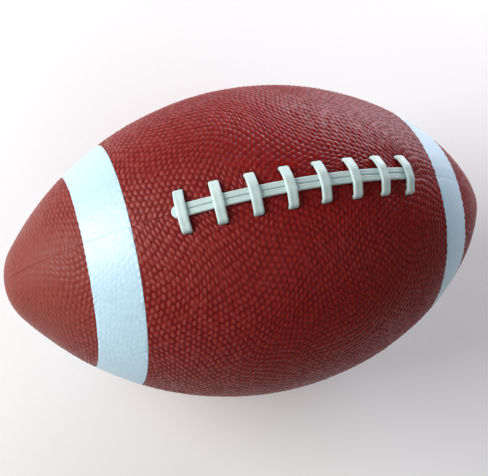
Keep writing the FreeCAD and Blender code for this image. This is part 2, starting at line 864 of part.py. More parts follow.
def strand(across, height, inside, left_angle, right_angle, tail_run):
    """A lengthwise strand: along the slit, in through the slot and a short way on.

    The slot is the local +Z line of the tilted frame, so the bends are placed there.
    """
    bend = 1.6
    centre_height = math.sqrt((height - bend) ** 2 - bend ** 2)
    turn = math.degrees(math.atan2(bend, centre_height))
    slant = bend * math.sqrt(0.5)

    def at(along, up):
        return swing_point((along, across, up), right_angle)

    start = swing_point((0, across, height), left_angle)
    middle = swing_point((0, across, height), (left_angle + right_angle - turn) / 2)
    meet = swing_point((0, across, height), right_angle - turn)
    edges = [
        Part.Arc(start, middle, meet).toShape(),
        Part.Arc(meet, at(slant - bend, centre_height + slant), at(0, centre_height)).toShape(),
        Part.LineSegment(at(0, centre_height), at(0, inside + bend)).toShape(),
        Part.Arc(
            at(0, inside + bend), at(bend - slant, inside + bend - slant), at(bend, inside)
        ).toShape(),
        Part.LineSegment(at(bend, inside), at(tail_run, inside)).toShape(),
    ]
    outward = swing_point((0, 0, 1), left_angle)
    section = flat_section(start, ACROSS, outward, strand_width, lace_thickness)
    return sweep(Part.Wire(edges), section)


def lace_solid():
    hole = sizes["lace_hole_across"]
    half_thick = lace_thickness / 2
    surface_fall = hole ** 2 / (2 * half_width)
    facing_clearance = 1.0
    inside = side_radius - surface_fall - facing_in - facing_clearance - half_thick
    strand_height = side_radius + 0.05 + half_thick
    strand_across = strand_width / 2 + 0.05
    cross_height = strand_height + lace_thickness + 0.05
    shoulder = side_radius + 0.4
    knee = strand_across + 1.9
    shoulder_bend = 1.9
    knee_bend = 6.0
    half_row = sizes["lace_row_angle"] / 2
    parts = []

    # a cross: up through one hole, over both strands and down through the other
    path = rounded_path(
        [
            (0, -hole, inside),
            (0, -hole, shoulder),
            (0, -knee, cross_height),
            (0, knee, cross_height),
            (0, hole, shoulder),
            (0, hole, inside),
        ],
        [shoulder_bend, knee_bend, knee_bend, shoulder_bend],
    )
    start = Vector(0, -hole, inside)
    cross = sweep(path, flat_section(start, ALONG, ACROSS, lace_width, lace_thickness))
    tilts = [lace_pitch_angle * index - half_row for index in range(lace_crosses)]
    for angle in tilts:
        parts.append(tilt(cross, angle))
        for side in (-1, 1):
            parts.append(fold((0, side * hole, inside), angle))

    # inside, from the far hole of each cross to the near hole of the next
    for angle in tilts[:-1]:
        begin = swing_point((0, hole, inside), angle)
        finish = swing_point((0, -hole, inside), angle + lace_pitch_angle)
        parts.append(inner_run(begin, finish))

    # the two strands along the slit, joined by a bight that pokes out past the first cross
    poke = 2.4
    edge = math.degrees((lace_width / 2 + poke - strand_width) / side_radius)
    left_angle = -half_row - edge
    tail_run = 6.0
    for side in (-1, 1):
        parts.append(
            strand(
                side * strand_across, strand_height, inside, left_angle, half_row, tail_run
            )
        )
    outward = swing_point((0, 0, 1), left_angle)
    start = swing_point((0, strand_across, strand_height), left_angle)
    section = flat_section(start, ACROSS, outward, strand_width, lace_thickness)
    parts.append(Part.Face(section).revolve(Vector(0, 0, 0), outward, 180))

    # inside at the right end: the last cross joins the far strand
    turn_back = 1.4
    corner = (tail_run - 0.5, strand_across + turn_back, inside)
    parts.append(fold(corner, half_row))
    begin = swing_point((0, hole, inside), half_row)
    parts.append(inner_run(begin, swing_point(corner, half_row)))

    # the free end at the first cross lies flat under the facing
    begin = swing_point((0, -hole, inside), -half_row)
    free_end = (0, -hole - 3.9, inside - 0.6)
    parts.append(inner_run(begin, swing_point(free_end, -half_row - 4.6)))
    whole = parts[0].multiFuse(parts[1:])
    return whole.removeSplitter()


def lace():
    piece = doc.addObject("Part::Feature", "lace")
    piece.Shape = lace_solid()
    piece.Placement = pole_frame(0, lacing_lean)
    keep(piece, "lace")


lace()


# ---------------------------------------------------------------- check and write

doc.recompute()

for item in doc.Objects:
    if "Invalid" in item.State or "Error" in item.State:
        raise RuntimeError("%s did not build: %s" % (item.Label, item.State))
for piece in pieces:
    shape = piece.Shape
    if shape.isNull() or not shape.isValid() or not shape.Solids:
        raise RuntimeError("%s has no valid solid" % piece.Label)

os.makedirs("parts", exist_ok=True)
for piece in pieces:
    piece.Shape.exportStep("parts/%s.step" % piece.Label)
    shape = piece.Shape
    print(
        "%-24s solids %d  volume %10.1f mm3" % (piece.Label, len(shape.Solids), shape.Volume)
    )
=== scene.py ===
import math

import bmesh
import bpy
import numpy as np
from mathutils import Matrix, Vector
from mathutils.geometry import delaunay_2d_cdt


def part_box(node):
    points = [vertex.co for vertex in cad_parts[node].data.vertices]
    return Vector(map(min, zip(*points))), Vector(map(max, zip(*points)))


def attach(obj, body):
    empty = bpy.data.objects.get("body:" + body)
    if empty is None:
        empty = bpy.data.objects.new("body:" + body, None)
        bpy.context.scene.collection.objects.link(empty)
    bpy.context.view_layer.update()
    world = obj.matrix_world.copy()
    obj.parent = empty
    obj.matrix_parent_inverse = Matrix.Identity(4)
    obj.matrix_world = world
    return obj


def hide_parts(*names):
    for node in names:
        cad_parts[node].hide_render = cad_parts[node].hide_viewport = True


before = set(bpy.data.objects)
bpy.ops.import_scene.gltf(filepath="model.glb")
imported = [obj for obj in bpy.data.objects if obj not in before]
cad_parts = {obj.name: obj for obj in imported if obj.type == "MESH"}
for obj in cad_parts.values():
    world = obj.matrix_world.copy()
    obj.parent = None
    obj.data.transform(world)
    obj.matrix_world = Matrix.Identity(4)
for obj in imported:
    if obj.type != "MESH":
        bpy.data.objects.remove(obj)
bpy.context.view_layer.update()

# Looks of a laced four-panel ball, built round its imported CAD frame.
#
# Lengths are millimetres, about the ball's middle, until place() writes a mesh in metres in the
# row frame.  X is the long axis and the lacing is on top.  A point of a panel's skin is given as
# (along, across): the arc length from the ball's waist towards a tip, and the arc length round
# the ball from the panel's middle line.

MM = 0.001
FAR_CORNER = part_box("cover_top_far")[1] / MM
HALF_LENGTH = FAR_CORNER.x
HALF_WIDTH = FAR_CORNER.z / 2
TIP_RADIUS = 31.0
TIP_CENTRE = HALF_LENGTH - TIP_RADIUS
NARROW = HALF_WIDTH - TIP_RADIUS
POLE_DROP = (TIP_CENTRE ** 2 - NARROW ** 2) / (2 * NARROW)
SIDE_RADIUS = HALF_WIDTH + POLE_DROP
SIDE_TURN = math.asin(TIP_CENTRE / (SIDE_RADIUS - TIP_RADIUS))
SIDE_ARC = SIDE_RADIUS * SIDE_TURN

# the four panels: the angle of each one's middle line round X, from +Y towards +Z
PANELS = {
    "top_far": 45.0,
    "top_near": 135.0,
    "bottom_near": 225.0,
    "bottom_far": 315.0,
}
EIGHTH = math.pi / 4

# leather, as depths under the skin and distances from a seam's middle
LEATHER = 2.0
FLANGE_DEPTH = 8.0
FLANGE_WIDTH = 1.9
LIP_DEPTH = LEATHER + 0.3
EDGE_ROLL = 0.13
SEAM_GAP = 0.012
EDGE_START = EDGE_ROLL + SEAM_GAP
FLANGE_END = 110.0
FLANGE_FADE = 3.0
SLIT_END = 66.0
SLIT_FADE = 1.0
TIP_HOLE = 1.0
TIP_CUT = SIDE_ARC + TIP_RADIUS * (math.acos(TIP_HOLE / TIP_RADIUS) - SIDE_TURN)

# pebbles: their rows, their shape and how they vary
ROW_STEP = 2.34
PEBBLE_STEP = 3.75
PEBBLE_HEIGHT = 0.66
RING_SHARES = (0.40, 0.74)
PEBBLE_JITTER = 0.42
LOWEST_TOP = 0.70
HIGHEST_VALLEY = 0.5
SPARE_ROWS = 6
SPARE_ALONG = 2.5
SPARE_ACROSS = 3.0

# the waves that bend the rows of pebbles; each slides the skin by its length over BEND_PART
BENDS = 7
BEND_LENGTHS = (36.0, 95.0)
BEND_PART = 27.0

# the skin round the pebbles: they are lower at a seam, on the worn tips and under the paint
SEAM_RELIEF = 0.45
SEAM_FADE = 2.5
TIP_WEAR = 0.55
WEAR_START = 105.0
WEAR_STOP = 140.0
PAINT_FILL = 0.84
PAINT_FADE = 0.8
SEAM_DIP = 0.10
SEAM_DIP_SIZE = 2.4
SWELL_HEIGHT = 0.10
SWELL_ALONG = 11.0
SWELL_ACROSS = 9.0
HOLE_DIP = 0.34
HOLE_DIP_ALONG = 4.6
HOLE_DIP_ACROSS = 3.0

# the plain inner face of a panel, and the way a hole is cut and lined
BASE_SPACING = 4.0
HOLE_POINTS = 14
HOLE_SLACK = 0.2
LEAST_KEEP = 0.15

# stripes, from the frame
STRIPE_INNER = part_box("stripe_right")[0].x / MM
STRIPE_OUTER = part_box("stripe_right")[1].x / MM
PAINT_LIFT = 0.16
PAINT_ROLL = EDGE_ROLL + 0.01
PAINT_FOOT = 1.2
PAINT_BASE = 0.9
PAINT_INSET = 1.1

# lacing, laid out as angles about the pole, the centre of the side arc
LACE_THICKNESS = 2.0
LACE_WIDTH = 5.0
STRAND_WIDTH = 3.1
CROSSES = 8
CROSS_ANGLE = 5.8
HALF_ROW = CROSS_ANGLE * (CROSSES - 1) / 2
ROW_LEAN = -0.45
HOLE_ACROSS = 9.6
HOLE_LENGTH = LACE_WIDTH + 0.6
HOLE_WIDTH = LACE_THICKNESS + 0.6
HOLE_ROLL = 0.45
VALVE_HOLE = 4.0
FACING_IN = 4.7
FACING_CLEARANCE = 1.0
LACE_GAP = 0.05
SHOULDER_LIFT = 0.4
SHOULDER_BEND = 1.9
KNEE_BEND = 6.0
STRAND_BEND = 1.6
INSIDE_BEND = 1.3
STATION_STEP = 0.7
BEND_STEP = 0.16


# ---------------------------------------------------------------- the skin's geometry

def outline(along):
    """X, the distance from the X axis, and the outward turn of the skin, at an arc length."""
    size = np.abs(along)
    on_side = size <= SIDE_ARC
    turn = np.where(on_side, size / SIDE_RADIUS, SIDE_TURN + (size - SIDE_ARC) / TIP_RADIUS)
    x = np.where(
        on_side, SIDE_RADIUS * np.sin(turn), TIP_CENTRE + TIP_RADIUS * np.sin(turn)
    )
    r = np.where(on_side, SIDE_RADIUS * np.cos(turn) - POLE_DROP, TIP_RADIUS * np.cos(turn))
    way = np.where(along < 0, -1.0, 1.0)
    return way * x, r, way * turn


def along_at(x):
    """The arc length at an X on the side arc."""
    return SIDE_RADIUS * math.asin(x / SIDE_RADIUS)


STRIPE_START = along_at(STRIPE_INNER)
STRIPE_STOP = along_at(STRIPE_OUTER)


def reach(along):
    """How far a panel goes across, from its middle line to where its edge starts to roll in."""
    r = outline(np.clip(along, -TIP_CUT, TIP_CUT))[1]
    return r * (EIGHTH - np.arcsin(EDGE_START / r))


def skin_point(along, across, depth, middle):
    """Points at a depth under the skin of the panel whose middle line is at that angle."""
    x, r, turn = outline(along)
    angle = middle + across / r
    low = r - depth * np.cos(turn)
    return np.stack(
        [x - depth * np.sin(turn), low * np.cos(angle), low * np.sin(angle)], axis=-1
    )


def smooth(value, start, stop):
    """0 before start, 1 after stop, and a soft step between."""
    share = np.clip((value - start) / (stop - start), 0, 1)
    return share * share * (3 - 2 * share)


def lace_holes(side):
    """Centres of the eight holes of a top panel; side is +1 if the lacing is at its +across."""
    centres = []
    for index in range(CROSSES):
        along = SIDE_RADIUS * math.radians(CROSS_ANGLE * index - HALF_ROW + ROW_LEAN)
        r = float(outline(np.array(along))[1])
        centres.append((along, side * r * (EIGHTH - math.asin(HOLE_ACROSS / r))))
    return centres


def painted(along):
    """1 under a stripe, where the paint has filled the grain, and 0 beyond its edges."""
    size = np.abs(along)
    return smooth(size, STRIPE_START, STRIPE_START + PAINT_FADE) * (
        1 - smooth(size, STRIPE_STOP - PAINT_FADE, STRIPE_STOP)
    )


def skin_height(along, across, pebble, holes, seed):
    """Height of the leather above the ball's own surface; pebble is 0 in a valley, 1 on top."""
    edge = reach(along) - np.abs(across)
    relief = SEAM_RELIEF + (1 - SEAM_RELIEF) * smooth(edge, 0.0, SEAM_FADE)
    relief = relief * (1 - TIP_WEAR * smooth(np.abs(along), WEAR_START, WEAR_STOP))
    relief = relief * (1 - PAINT_FILL * painted(along))
    height = (pebble - 0.5) * PEBBLE_HEIGHT * relief
    height = height - SEAM_DIP * np.exp(-((edge / SEAM_DIP_SIZE) ** 2))
    swell = np.sin(along / SWELL_ALONG + seed) * np.sin(across / SWELL_ACROSS + 2 * seed)
    height = height + SWELL_HEIGHT * swell
    for hole_along, hole_across in holes:
        off_along = (along - hole_along) / HOLE_DIP_ALONG
        off_across = (across - hole_across) / HOLE_DIP_ACROSS
        height = height - HOLE_DIP * np.exp(-(off_along ** 2 + off_across ** 2))
    return height


# ---------------------------------------------------------------- pebbled leather

def swirl(flat, rng):
    """Bends the rows of pebbles like grain, without squeezing them: a sum of shear waves."""
    moved = flat.copy()
    for _ in range(BENDS):
        length = rng.uniform(*BEND_LENGTHS)
        heading = rng.uniform(0.0, 2 * math.pi)
        phase = rng.uniform(0.0, 2 * math.pi)
        forward = np.array([math.cos(heading), math.sin(heading)])
        sideways = np.array([-math.sin(heading), math.cos(heading)])
        wave = np.sin(flat @ forward * (2 * math.pi / length) + phase)
        slide = length / BEND_PART * wave
        moved += slide[..., None] * sideways
    return moved


def honeycomb(seed):
    """A mesh of pebbles in (along, share of reach, height 0 to 1), larger than the panel.

    Each pebble is a dome: a top, two rings of six, and a valley that it shares with its
    neighbours.  Some valleys are shallow, so pebbles run together in short streaks.
    """
    rng = np.random.default_rng(seed)
    rows = int(TIP_CUT / ROW_STEP) + SPARE_ROWS
    columns = int(HALF_WIDTH * EIGHTH / PEBBLE_STEP + rows / 2) + SPARE_ROWS
    p, q = np.meshgrid(
        np.arange(-columns, columns + 1), np.arange(-rows, rows + 1), indexing="ij"
    )
    centre = np.stack([q * ROW_STEP, (p + q / 2) * PEBBLE_STEP], axis=-1)
    centre = centre + rng.uniform(-PEBBLE_JITTER, PEBBLE_JITTER, centre.shape)
    centre = swirl(centre, rng)
    upper = (centre[:-1, :-1] + centre[1:, :-1] + centre[:-1, 1:]) / 3
    lower = (centre[1:, :-1] + centre[:-1, 1:] + centre[1:, 1:]) / 3

    middle = centre[1:-1, 1:-1]
    wanted = np.abs(middle[..., 0]) < TIP_CUT + SPARE_ALONG
    wanted &= np.abs(middle[..., 1]) < reach(middle[..., 0]) + SPARE_ACROSS
    p, q = np.nonzero(wanted)
    p, q = p + 1, q + 1
    count = len(p)
    width = upper.shape[1]
    offset = upper.shape[0] * width
    corner_ids = np.stack(
        [
            p * width + q,
            offset + (p - 1) * width + q,
            (p - 1) * width + q,
            offset + (p - 1) * width + q - 1,
            p * width + q - 1,
            offset + p * width + q - 1,
        ],
        axis=1,
    )
    corners = np.concatenate([upper.reshape(-1, 2), lower.reshape(-1, 2)])
    used, corner_ids = np.unique(corner_ids, return_inverse=True)
    corner_ids = corner_ids.reshape(count, 6)
    corners = corners[used]

    cell = centre[p, q]
    tall = rng.uniform(LOWEST_TOP, 1.0, count)
    valley = rng.uniform(0.0, 1.0, len(corners)) ** 2 * HIGHEST_VALLEY
    low = valley[corner_ids]
    spokes = corners[corner_ids] - cell[:, None, :]
    rings = [cell[:, None, :] + share * spokes for share in RING_SHARES]
    heights = [
        low + (tall[:, None] - low) * math.cos(share * math.pi / 2) for share in RING_SHARES
    ]
    flat = np.concatenate([corners, cell] + [ring.reshape(-1, 2) for ring in rings])
    height = np.concatenate([valley, tall] + [ring.reshape(-1) for ring in heights])
    cell_ids = len(corners) + np.arange(count)
    ring_ids = [
        len(corners) + count + 6 * count * number + np.arange(6 * count).reshape(count, 6)
        for number in range(len(RING_SHARES))
    ]
    inner = ring_ids[0]
    hub = np.repeat(cell_ids[:, None], 6, axis=1)
    caps = np.stack([hub, inner, np.roll(inner, -1, axis=1)], axis=-1)
    flanks = []
    for inner, outer in zip(ring_ids, ring_ids[1:] + [corner_ids]):
        around = [inner, outer, np.roll(outer, -1, axis=1), np.roll(inner, -1, axis=1)]
        flanks += np.stack(around, axis=-1).reshape(-1, 4).tolist()

    points = np.stack([flat[:, 0], flat[:, 1] / reach(flat[:, 0]), height], axis=-1)
    mesh = bpy.data.meshes.new("honeycomb")
    faces = caps.reshape(-1, 3).tolist() + flanks
    mesh.from_pydata(points.tolist(), [], faces)
    pattern = bmesh.new()
    pattern.from_mesh(mesh)
    bpy.data.meshes.remove(mesh)
    return pattern


def trim(pattern, point, normal):
    """Cuts the pattern along a plane and drops what is on the normal's side."""
    geometry = pattern.verts[:] + pattern.edges[:] + pattern.faces[:]
    bmesh.ops.bisect_plane(
        pattern,
        geom=geometry,
        dist=1e-6,
        plane_co=point,
        plane_no=normal,
        clear_outer=True,
    )


def trim_across(pattern):
    """Cuts the pattern along the panel's two seams."""
    trim(pattern, (0, 1, 0), (0, 1, 0))
    trim(pattern, (0, -1, 0), (0, -1, 0))


def trim_along(pattern, start, stop):
    """Keeps the part of the pattern between two arc lengths."""
    spare = 3 * ROW_STEP
    beyond = [v for v in pattern.verts if not start - spare < v.co.x < stop + spare]
    bmesh.ops.delete(pattern, geom=beyond, context="VERTS")
    trim(pattern, (stop, 0, 0), (1, 0, 0))
    trim(pattern, (start, 0, 0), (-1, 0, 0))


def oval(centre, half_run, radius, count):
    """Points round an oval in (along, across): two half circles and the straight runs between."""
    angles = (np.arange(count) + 0.5) * (2 * math.pi / count)
    along = centre[0] + radius * np.cos(angles) + half_run * np.sign(np.cos(angles))
    across = centre[1] + radius * np.sin(angles)
    return np.stack([along, across], axis=-1)


def punch(pattern, centre, half_run, radius):
    """Cuts a clean oval hole in the pattern; only the faces in a box round it are cut."""
    ring = oval(centre, half_run, radius, HOLE_POINTS)
    ring[:, 1] /= reach(ring[:, 0])
    middle = ring.mean(axis=0)
    spare = np.array([1.5, 0.03])
    room = np.abs(ring - middle).max(axis=0) * 1.5 + spare
    near = [
        face
        for face in pattern.faces
        if abs(face.verts[0].co.x - middle[0]) < room[0]
        and abs(face.verts[0].co.y - middle[1]) < room[1]
    ]
    edges = {edge for face in near for edge in face.edges}
    verts = {vert for face in near for vert in face.verts}
    geometry = list(verts) + list(edges) + near
    sides = []
    for start, stop in zip(ring, np.roll(ring, -1, axis=0)):
        run = stop - start
        normal = np.array([run[1], -run[0]])
        normal /= np.linalg.norm(normal)
        sides.append((start, normal))
        cut = bmesh.ops.bisect_plane(
            pattern,
            geom=geometry,
            dist=1e-6,
            plane_co=(start[0], start[1], 0),
            plane_no=(normal[0], normal[1], 0),
        )
        geometry = cut["geom"]
    inside = []
    for face in geometry:
        if not isinstance(face, bmesh.types.BMFace):
            continue
        spot = face.calc_center_median()
        here = np.array([spot.x, spot.y])
        if all((here - start) @ normal < 0 for start, normal in sides):
            inside.append(face)
    bmesh.ops.delete(pattern, geom=inside, context="FACES")


def edge_loops(pattern):
    """The pattern's open edges as ordered loops of vertex indices."""
    ahead = {}
    for edge in pattern.edges:
        if len(edge.link_faces) == 1:
            corner = next(c for c in edge.link_faces[0].loops if c.edge == edge)
            ahead[corner.vert.index] = corner.link_loop_next.vert.index
    loops = []
    while ahead:
        start, here = ahead.popitem()
        loop = [start]
        while here != start:
            loop.append(here)
            here = ahead.pop(here)
        loops.append(loop)
    return sorted(loops, key=len, reverse=True)


def triangulate_inside(loops, spacing):
    """Fills the first loop, apart from the other ones, with triangles of about that size."""
    outer = loops[0]
    low, high = outer.min(axis=0), outer.max(axis=0)
    grid = np.stack(
        np.meshgrid(
            np.arange(low[0] + spacing, high[0], spacing),
            np.arange(low[1] + spacing / 2, high[1], spacing),
            indexing="ij",
        ),
        axis=-1,
    ).reshape(-1, 2)
    inner_reach = np.interp(grid[:, 0], *sorted_profile(outer))
    keep = np.abs(grid[:, 1]) < inner_reach - 0.7 * spacing
    for hole in loops[1:]:
        middle = hole.mean(axis=0)
        size = np.linalg.norm(hole - middle, axis=1).max()
        keep &= np.linalg.norm(grid - middle, axis=1) > size + 0.4 * spacing
    grid = grid[keep]
    points = np.concatenate([*loops, grid])
    edges = []
    first = 0
    for loop in loops:
        ids = np.arange(len(loop))
        edges += np.stack([first + ids, first + np.roll(ids, -1)], axis=-1).tolist()
        first += len(loop)
    found = delaunay_2d_cdt([Vector(p) for p in points.tolist()], edges, [], 1, 1e-6)
    back = [sources[0] if sources else -1 for sources in found[3]]
    triangles = []
    for face in found[2]:
        ids = [back[v] for v in face]
        if min(ids) < 0 or len(set(ids)) < 3:
            continue
        spot = points[ids].mean(axis=0)
        if any(inside_loop(spot, hole) for hole in loops[1:]):
            continue
        triangles.append(ids)
    return grid, triangles


def sorted_profile(outer):
    """Half width of a loop that is symmetric about across = 0, as along values and widths."""
    upper = outer[outer[:, 1] > 0]
    order = np.argsort(upper[:, 0])
    return upper[order, 0], upper[order, 1]


def inside_loop(spot, loop):
    """Whether a point is inside a small convex loop."""
    run = np.roll(loop, -1, axis=0) - loop
    off = spot - loop
    side = run[:, 0] * off[:, 1] - run[:, 1] * off[:, 0]
    return bool(np.all(side > 0) or np.all(side < 0))


def flange_depth(x, at_slit):
    """Depth of a panel's turned-in edge; it ends before the tips, and at the slit."""
    turned_in = 1 - smooth(np.abs(x), FLANGE_END, FLANGE_END + FLANGE_FADE)
    past_slit = smooth(np.abs(x), SLIT_END - SLIT_FADE, SLIT_END)
    turned_in = turned_in * np.where(at_slit, past_slit, 1.0)
    return LIP_DEPTH + (FLANGE_DEPTH - LIP_DEPTH) * turned_in


def edge_frames(along, across, middle, holes):
    """For points on a pattern's edge: the way out of the leather, and the skin's own up."""
    x, r, turn = outline(along)
    share = across / reach(along)
    angle = middle + across / r
    on_seam = np.abs(share) > 1 - 1e-4
    way = np.sign(across)
    seam_angle = middle + way * EIGHTH
    radial_angle = np.where(on_seam, seam_angle, angle)
    zero = np.zeros_like(along)
    radial = np.stack([zero, np.cos(radial_angle), np.sin(radial_angle)], axis=-1)
    round_way = np.stack([zero, -np.sin(radial_angle), np.cos(radial_angle)], axis=-1)
    forward = np.stack([np.cos(turn), zero, zero], axis=-1) - np.sin(turn)[:, None] * radial
    up = np.stack([np.sin(turn), zero, zero], axis=-1) + np.cos(turn)[:, None] * radial
    seam_out = way[:, None] * round_way
    end_out = np.sign(along - np.mean(along))[:, None] * forward
    out = np.where(on_seam[:, None], seam_out, end_out)
    for centre, half_run, radius in holes:
        run = np.clip(along - centre[0], -half_run, half_run)
        pull_along = centre[0] + run - along
        pull_across = centre[1] - across
        size = np.hypot(pull_along, pull_across)
        at_hole = size < radius + HOLE_SLACK
        pull = (
            (pull_along / size)[:, None] * forward + (pull_across / size)[:, None] * round_way
        )
        out = np.where(at_hole[:, None], pull, out)
    return out, up


def add_row(pattern, points):
    """New vertices at those points."""
    return [pattern.verts.new(point) for point in points.tolist()]


def bridge(pattern, first, second):
    """Quads between two rows of vertices that go round a loop."""
    count = len(first)
    for index in range(count):
        after = (index + 1) % count
        pattern.faces.new((first[after], first[index], second[index], second[after]))


def thicken(pattern, middle, height_at, roll_at, rows_below, base_depth, inset, holes):
    """Turns a flat pattern into a closed solid on the ball.

    The outer face gets its height, each open edge rolls over and goes down in rows, and a
    plain inner face at base_depth closes it.
    """
    pattern.verts.index_update()
    pattern.verts.ensure_lookup_table()
    flat = np.array([vert.co for vert in pattern.verts])
    along, pebble = flat[:, 0], flat[:, 2]
    across = flat[:, 1] * reach(along)
    loops = edge_loops(pattern)
    height = height_at(along, across, pebble)
    points = skin_point(along, across, -height, middle)
    grain = pattern.verts.layers.float.new("pebble")
    for vert, point, value in zip(pattern.verts, points.tolist(), pebble.tolist()):
        vert.co = point
        vert[grain] = value
    verts = list(pattern.verts)
    base_loops = []
    last_rows = []
    for number, loop in enumerate(loops):
        ids = np.array(loop)
        out, up = edge_frames(along[ids], across[ids], middle, holes if number else [])
        roll = roll_at(number)
        start = points[ids]
        row = [verts[i] for i in loop]
        for turn in np.radians([30.0, 60.0, 90.0]):
            moved = start + out * (roll * math.sin(turn)) - up * (roll * (1 - math.cos(turn)))
            new_row = add_row(pattern, moved)
            bridge(pattern, row, new_row)
            row = new_row
        if number:
            base_along = along[ids]
            base_across = across[ids]
            for centre, half_run, radius in holes:
                run = np.clip(base_along - centre[0], -half_run, half_run)
                size = np.hypot(centre[0] + run - base_along, centre[1] - base_across)
                near = size < radius + HOLE_SLACK
                step = np.where(near, roll / np.maximum(size, 1e-6), 0.0)
                base_along = base_along + (centre[0] + run - base_along) * step
                base_across = base_across + (centre[1] - base_across) * step
        else:
            keep = np.maximum(1 - inset / reach(along[ids]), LEAST_KEEP)
            base_along = along[ids]
            base_across = across[ids] * keep
            deep = rows_below(along[ids], across[ids])
            outer_foot = start + out * roll - up * deep[:, None]
            new_row = add_row(pattern, outer_foot)
            bridge(pattern, row, new_row)
            row = new_row
            inner_foot = skin_point(base_along, base_across, deep, middle)
            new_row = add_row(pattern, inner_foot)
            bridge(pattern, row, new_row)
            row = new_row
        new_row = add_row(pattern, skin_point(base_along, base_across, base_depth, middle))
        bridge(pattern, row, new_row)
        base_loops.append(np.stack([base_along, base_across], axis=-1))
        last_rows += new_row
    grid, triangles = triangulate_inside(base_loops, BASE_SPACING)
    last_rows += add_row(pattern, skin_point(grid[:, 0], grid[:, 1], base_depth, middle))
    for ids in triangles:
        corners = [last_rows[i] for i in ids]
        if pattern.faces.get(corners) is None:
            pattern.faces.new(corners)
    for face in pattern.faces:
        face.smooth = True
    bmesh.ops.recalc_face_normals(pattern, faces=pattern.faces[:])


def place(pattern, name, slot, nodes, material):
    """Writes a mesh in the row frame, in metres, hangs it on the root body and hides its CAD
    nodes.
    """
    mesh = bpy.data.meshes.new(name)
    pattern.to_mesh(mesh)
    pattern.free()
    mesh.transform(Matrix.Scale(MM, 4) @ Matrix.Translation((0, 0, HALF_WIDTH)))
    piece = bpy.data.objects.new(name, mesh)
    bpy.context.scene.collection.objects.link(piece)
    piece.data.materials.append(material)
    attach(piece, "root")
    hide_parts(*nodes)
    return piece


def cover_flange(at_slit_side):
    """Depth of the cover's edge along a panel whose lacing is on that side, or 0 for none."""

    def depth(along, across):
        at_slit = np.sign(across) == at_slit_side
        return flange_depth(outline(along)[0], at_slit)

    return depth


def paint_edge(along, across):
    """The paint ends inside the leather."""
    return np.full_like(along, PAINT_FOOT)


def build_panels(leather, paint):
    """The four leather panels, and the paint of both stripes on each."""
    stripes = {"left": bmesh.new(), "right": bmesh.new()}
    spans = {"left": (-STRIPE_STOP, -STRIPE_START), "right": (STRIPE_START, STRIPE_STOP)}
    slit_sides = {"top_far": 1, "top_near": -1}
    for seed, (name, degrees) in enumerate(PANELS.items(), start=3):
        middle = math.radians(degrees)
        pattern = honeycomb(seed)
        trim_across(pattern)
        side = slit_sides.get(name, 0)
        centres = lace_holes(side) if side else []

        def leather_height(along, across, pebble):
            return skin_height(along, across, pebble, centres, seed)

        def paint_height(along, across, pebble):
            return leather_height(along, across, pebble) + PAINT_LIFT

        for end, (start, stop) in spans.items():
            film = pattern.copy()
            trim_along(film, start, stop)
            thicken(
                film,
                middle,
                paint_height,
                lambda number: PAINT_ROLL,
                paint_edge,
                PAINT_BASE,
                PAINT_INSET,
                [],
            )
            mesh = bpy.data.meshes.new("film")
            film.to_mesh(mesh)
            film.free()
            stripes[end].from_mesh(mesh)
            bpy.data.meshes.remove(mesh)

        trim_along(pattern, -TIP_CUT, TIP_CUT)
        holes = [
            (centre, HOLE_LENGTH / 2 - HOLE_WIDTH / 2, HOLE_WIDTH / 2 + HOLE_ROLL)
            for centre in centres
        ]
        if name == "bottom_far":
            holes = [((0.0, 0.0), 0.0, VALVE_HOLE + HOLE_ROLL)]
        for centre, half_run, radius in holes:
            punch(pattern, centre, half_run, radius)
        thicken(
            pattern,
            middle,
            leather_height,
            lambda number: HOLE_ROLL if number else EDGE_ROLL,
            cover_flange(side),
            LEATHER,
            FLANGE_WIDTH - EDGE_ROLL,
            holes,
        )
        place(pattern, "leather_" + name, "cover_leather", ["cover_" + name], leather)
    for end, pattern in stripes.items():
        place(pattern, "paint_" + end, "stripe_paint", ["stripe_" + end], paint)


# ---------------------------------------------------------------- lace

def swing(point, degrees):
    """Turns a point about the pole's axis, from the middle of the row towards +X."""
    angle = math.radians(degrees + ROW_LEAN)
    x, y, z = point
    return np.array(
        [
            x * math.cos(angle) + z * math.sin(angle),
            y,
            z * math.cos(angle) - x * math.sin(angle),
        ]
    )


def unit(vector):
    return vector / np.linalg.norm(vector)


class Corner:
    """A corner of the lace's route: its place, the lace's wide direction, its bend and width."""

    def __init__(self, point, wide, bend, width):
        self.point = np.array(point, float)
        self.wide = np.array(wide, float)
        self.bend = bend
        self.width = width


def route_stations(corners):
    """Stations along the route with its corners rounded: points, wide directions and widths."""
    points = [corners[0].point]
    wides = [corners[0].wide]
    widths = [corners[0].width]

    def add(point, wide, width):
        points.append(point)
        wides.append(unit(wide))
        widths.append(width)

    def run_to(goal, before, after):
        start = points[-1]
        count = max(1, int(np.linalg.norm(goal - start) / STATION_STEP))
        for index in range(1, count + 1):
            share = index / count
            add(
                start + (goal - start) * share,
                before.wide * (1 - share) + after.wide * share,
                before.width * (1 - share) + after.width * share,
            )

    for index in range(1, len(corners) - 1):
        before, here, after = corners[index - 1 : index + 2]
        if here.bend == 0:
            run_to(here.point, before, here)
            continue
        back = unit(before.point - here.point)
        ahead = unit(after.point - here.point)
        half = math.acos(float(np.clip(back @ ahead, -1, 1))) / 2
        cut = here.bend / math.tan(half)
        first, last = here.point + back * cut, here.point + ahead * cut
        run_to(first, before, here)
        hub = here.point + unit(back + ahead) * (here.bend / math.sin(half))
        sweep_angle = math.pi - 2 * half
        a = first - hub
        b = unit(np.cross(np.cross(a, last - hub), a)) * here.bend
        steps = max(3, int(sweep_angle / BEND_STEP))
        for step in range(1, steps + 1):
            turn = sweep_angle * step / steps
            add(hub + a * math.cos(turn) + b * math.sin(turn), here.wide, here.width)
    run_to(corners[-1].point, corners[-2], corners[-1])
    return np.array(points), np.array(wides), np.array(widths)


